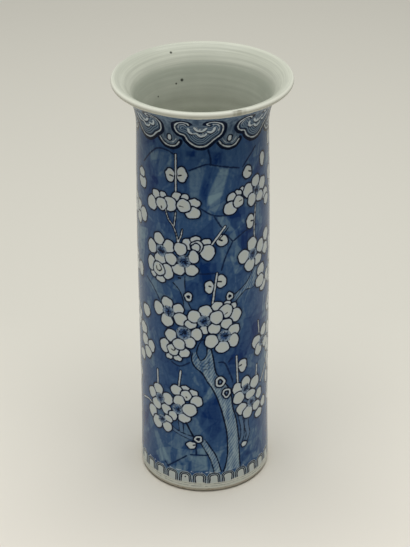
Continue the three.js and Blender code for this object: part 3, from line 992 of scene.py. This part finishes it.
for i in range(HEADS):
    lappet(-22.3 + i * GIRTH / HEADS)
for i in range(HEADS):
    cloud_head(i * GIRTH / HEADS)

# Border of arched pads
# A row of arched pads is left white above the foot, each ringed by dark and pale lines in turn. The
# glazed foot below it stays bare but for two faint rings, and the lip above the collar is bare too.
PADS, PAD_START = 28, 6.2
PAD_HALF, PAD_TOP, PAD_CORNER = 2.5, 14.0, 1.7
BORDER_FOOT, BORDER_TOP = 7.9, 16.6
FLECKS, FLECK_HEIGHT, FLECK_SPREAD = 90, 16.8, 0.4  # pale flecks of a dry brush along its top
FAINT_RINGS = (5.2, 6.9)

wave = 0.35 * np.sin(U / 5.1)[None, :] + 0.25 * np.sin(U / 2.3 + 1)[None, :]
bare = np.minimum(COLLAR_TOP - V[:, None], V[:, None] - BORDER_FOOT) + wave
faint = np.min([np.abs(V[:, None] - ring + 0.4 * wave) for ring in FAINT_RINGS], axis=0) - 0.12
pad = np.full_like(pale, FAR)
for i in range(PADS):
    u = PAD_START + i * GIRTH / PADS
    here, x, y = near([(u - 5.5, 6), (u + 5.5, 17)])
    out = np.maximum(np.abs(x - u) - PAD_HALF + PAD_CORNER, 0)
    up = np.maximum(y - PAD_TOP + PAD_CORNER, 0)
    arch = np.hypot(out, up) - PAD_CORNER
    lay(pad, here, arch + 0.12 * np.sin(i * 2.4 + y / 1.5))
stroke([(-14.2, 11.8), (-13.7, 12.2)], 0.9)
light[:] = np.minimum(light, np.abs(V[:, None] - BORDER_TOP - wave) + 0.02)
for i in range(FLECKS):
    u, v = hand.uniform(0, GIRTH), hand.normal(FLECK_HEIGHT, FLECK_SPREAD)
    stroke([(u, v), (u + hand.uniform(0.2, 1.6), v + hand.uniform(-0.2, 0.3))], 0.4, light)

sheet = {
    "tone": tone, "crack": crack, "wash": wash, "bark": bark, "cloud": cloud, "pad": pad,
    "pale": pale, "bloom": bloom, "dark": dark, "light": light, "bare": bare, "faint": faint,
}
first = 0
for piece, outside in outsides:
    last = first + len(outside)
    for name, field in sheet.items():
        layer = np.zeros(len(piece.data.vertices), np.float32)
        layer[: (last - first) * COLUMNS] = field[first:last].ravel()
        piece.data.attributes.new(name, "FLOAT", "POINT").data.foreach_set("value", layer)
    first = last

# Cobalt under a clear glaze: brushed on in washes that pool dark at their edges and round whatever is
# left white, then glazed and fired, which gives a deep cloudy blue that seems to lie under a wet skin.
ICE_DEEP, ICE_BLUE, ICE_THIN = "06326f", "3c5f8c", "88a6b7"
POOLED_BLUE = "12305c"
CRACK_BLUE, OUTLINE_BLUE, BRUSH_BLUE = "08234c", "021330", "021330"
TWIG_BLUE = "5f7c9f"
BARK_BLUE, BARK_GREY = "476a94", "a6bcc8"
CLOUD_DEEP, CLOUD_THIN = "2c4464", "869cb0"
BLOOM_PALE, BLOOM_DEEP = "8fa5bd", "466a9f"
PETAL_EDGE, PETAL_FACE = "ccd9e6", "d5dddb"
FINE_LINE, BORDER_LINE = "d3dfe8", "b3c2ca"
BARE_GLAZE, FAINT_GREY = "e4e7dd", "939a97"
GRANULES = 2.2  # cloudiness of the wash, in mm
BRISTLES = (2.4, 11.0)  # marks of the brush, across and along, in mm
MOTTLE = 0.7  # share of the granules and the bristles in the tone of the ground
THINNEST, DEEPEST = 1.3, -1.2  # tones at which the ground is as pale and as dark as it gets
BARK_PITCH, BARK_SLOPE = 1.9, 56  # hatching of the trunk, in mm and in degrees above level
BARK_WAVER, BARK_PATCHES, BARK_LINES = 7.0, 3.6, 0.6  # how the bristles bend and patch the hatching
PALER = (0.112, 0.08)  # heights in metres between which it grows paler
TREMBLE = 0.16  # of the brush, in mm
SHADE_BAND = (0.258, 0.28)  # heights in metres over which the shine drops, standing in for shade under the lip
BODY_SHINE, SHADE_SHINE, SHINE_TINT = 0.25, 0.03, (0.15, 0.15, 0.15, 1.0)

tree = cobalt_tree
where = add(tree, "TexCoord", out="Object")
x, y, z = (add(tree, "SeparateXYZ", {0: where}, axis) for axis in "XYZ")
granules = add(tree, "TexNoise", {"Vector": where, "Scale": 1000 / GRANULES, "Detail": 3.0})
across, along = (1000 / size for size in BRISTLES)
drawn = add(tree, "Mapping", {"Vector": where, "Scale": (across, across, along)})
bristles = add(tree, "TexNoise", {"Vector": drawn, "Detail": 2.0, "Scale": 1.0})
mottle = add(tree, "Math", {0: granules, 1: bristles}, operation="ADD")
mottle = add(tree, "Math", {0: mottle, 1: 1.0}, operation="SUBTRACT")
laid = add(tree, "Attribute", out="Fac", attribute_name="tone")
laid = add(tree, "Math", {0: mottle, 1: MOTTLE, 2: laid}, operation="MULTIPLY_ADD")
colour = ICE_BLUE
for full, paint in ((THINNEST, ICE_THIN), (DEEPEST, ICE_DEEP)):
    amount = add(tree, "MapRange", {"Value": laid, "From Min": 0.0, "From Max": full})
    colour = add(tree, "Mix", {"Factor": amount, 6: colour, 7: paint}, 2, data_type="RGBA")

# Slanting hatching of the wood, which grows paler down the trunk
front = add(tree, "Math", {0: y, 1: -1.0}, operation="MULTIPLY")
turn = add(tree, "Math", {0: x, 1: front}, operation="ARCTAN2")
per_mm = 2 * math.pi / BARK_PITCH
rise = per_mm * math.cos(math.radians(BARK_SLOPE)) / MM
run = -per_mm * math.sin(math.radians(BARK_SLOPE)) * BODY_RADIUS
hatch = add(tree, "Math", {0: z, 1: rise}, operation="MULTIPLY")
hatch = add(tree, "Math", {0: turn, 1: run, 2: hatch}, operation="MULTIPLY_ADD")
hatch = add(tree, "Math", {0: bristles, 1: BARK_WAVER, 2: hatch}, operation="MULTIPLY_ADD")
hatch = add(tree, "Math", {0: hatch}, operation="SINE")
down = {"Value": z, "From Min": PALER[0], "From Max": PALER[1], "To Min": -2.3, "To Max": -1.75}
down = add(tree, "MapRange", down)
patches = add(tree, "Math", {0: bristles, 1: BARK_PATCHES, 2: down}, operation="MULTIPLY_ADD")
hatch = add(tree, "Math", {0: hatch, 1: BARK_LINES, 2: patches}, operation="MULTIPLY_ADD")

# Fine lines of the cloud heads, which follow their outline inwards
inwards = add(tree, "Attribute", out="Fac", attribute_name="cloud")
lines = add(tree, "Math", {0: inwards, 1: 2 * math.pi / CLOUD_PITCH}, operation="MULTIPLY")
lines = add(tree, "Math", {0: bristles, 1: 3.0, 2: lines}, operation="MULTIPLY_ADD")
lines = add(tree, "Math", {0: lines}, operation="SINE")

# White of the petals, bluer near their edge, and a flower's heart, deepest in its middle
inside = add(tree, "Attribute", out="Fac", attribute_name="pale")
inside = add(tree, "Math", {0: granules, 1: 3.0, 2: inside}, operation="MULTIPLY_ADD")
disc = add(tree, "Attribute", out="Fac", attribute_name="bloom")
disc = add(tree, "Math", {0: granules, 1: 1.6, 2: disc}, operation="MULTIPLY_ADD")

# Each of these four goes from its first paint to its second
paints = []
for value, begins, full, first, second in (
    (hatch, -1.0, 1.0, BARK_BLUE, BARK_GREY),
    (lines, -0.8, 1.0, CLOUD_DEEP, CLOUD_THIN),
    (inside, 1.3, 0.2, PETAL_EDGE, PETAL_FACE),
    (disc, 0.2, -1.6, BLOOM_PALE, BLOOM_DEEP),
):
    amount = add(tree, "MapRange", {"Value": value, "From Min": begins, "From Max": full})
    both = {"Factor": amount, 6: first, 7: second}
    paints.append(add(tree, "Mix", both, 2, data_type="RGBA"))
wood, clouds, whites, hearts = paints

# Each layer lies over the one before: the distance where it ends, where it is full, and its paint. The
# brush trembles a little, which the granules stand for.
tremble = {"Value": granules, "From Min": 0.3, "From Max": 0.7, "To Min": -TREMBLE, "To Max": TREMBLE}
tremble = add(tree, "MapRange", tremble)
for layer, ends, full, paint in (
    ("crack", 0.5, -0.3, CRACK_BLUE),
    ("wash", 0.4, -0.3, TWIG_BLUE),
    ("bark", 0.4, -0.3, wood),
    ("cloud", 0.4, -0.3, clouds),
    ("pad", 2.5, 2.3, BORDER_LINE),
    ("pad", 2.15, 1.95, OUTLINE_BLUE),
    ("pad", 1.35, 1.15, BORDER_LINE),
    ("pad", 0.95, 0.75, OUTLINE_BLUE),
    ("pad", 0.1, -0.1, PETAL_FACE),
    ("pale", 3.2, -1.2, POOLED_BLUE),
    ("pale", OUTLINE + 0.2, OUTLINE - 0.15, OUTLINE_BLUE),
    ("pale", 0.12, -0.12, whites),
    ("bloom", 0.5, -0.3, hearts),
    ("dark", 0.25, -0.2, BRUSH_BLUE),
    ("light", 0.25, -0.2, FINE_LINE),
    ("bare", 0.4, -0.4, BARE_GLAZE),
    ("faint", 0.35, -0.2, FAINT_GREY),
):
    distance = add(tree, "Attribute", out="Fac", attribute_name=layer)
    distance = add(tree, "Math", {0: distance, 1: tremble}, operation="ADD")
    fade = {"Value": distance, "From Min": ends, "From Max": full}
    amount = add(tree, "MapRange", fade, interpolation_type="SMOOTHSTEP")
    colour = add(tree, "Mix", {"Factor": amount, 6: colour, 7: paint}, 2, data_type="RGBA")

# Under the lip the shine is turned down, so that the glaze mirrors little of the bright table there and
# stays dark, standing in for shade
shine = {"Value": z, "From Min": SHADE_BAND[0], "From Max": SHADE_BAND[1], "To Min": BODY_SHINE, "To Max": SHADE_SHINE}
fill(tree.nodes["Principled BSDF"], {
    "Base Color": colour, "Roughness": GLAZE_ROUGHNESS,
    "Specular IOR Level": add(tree, "MapRange", shine), "Specular Tint": SHINE_TINT,
})
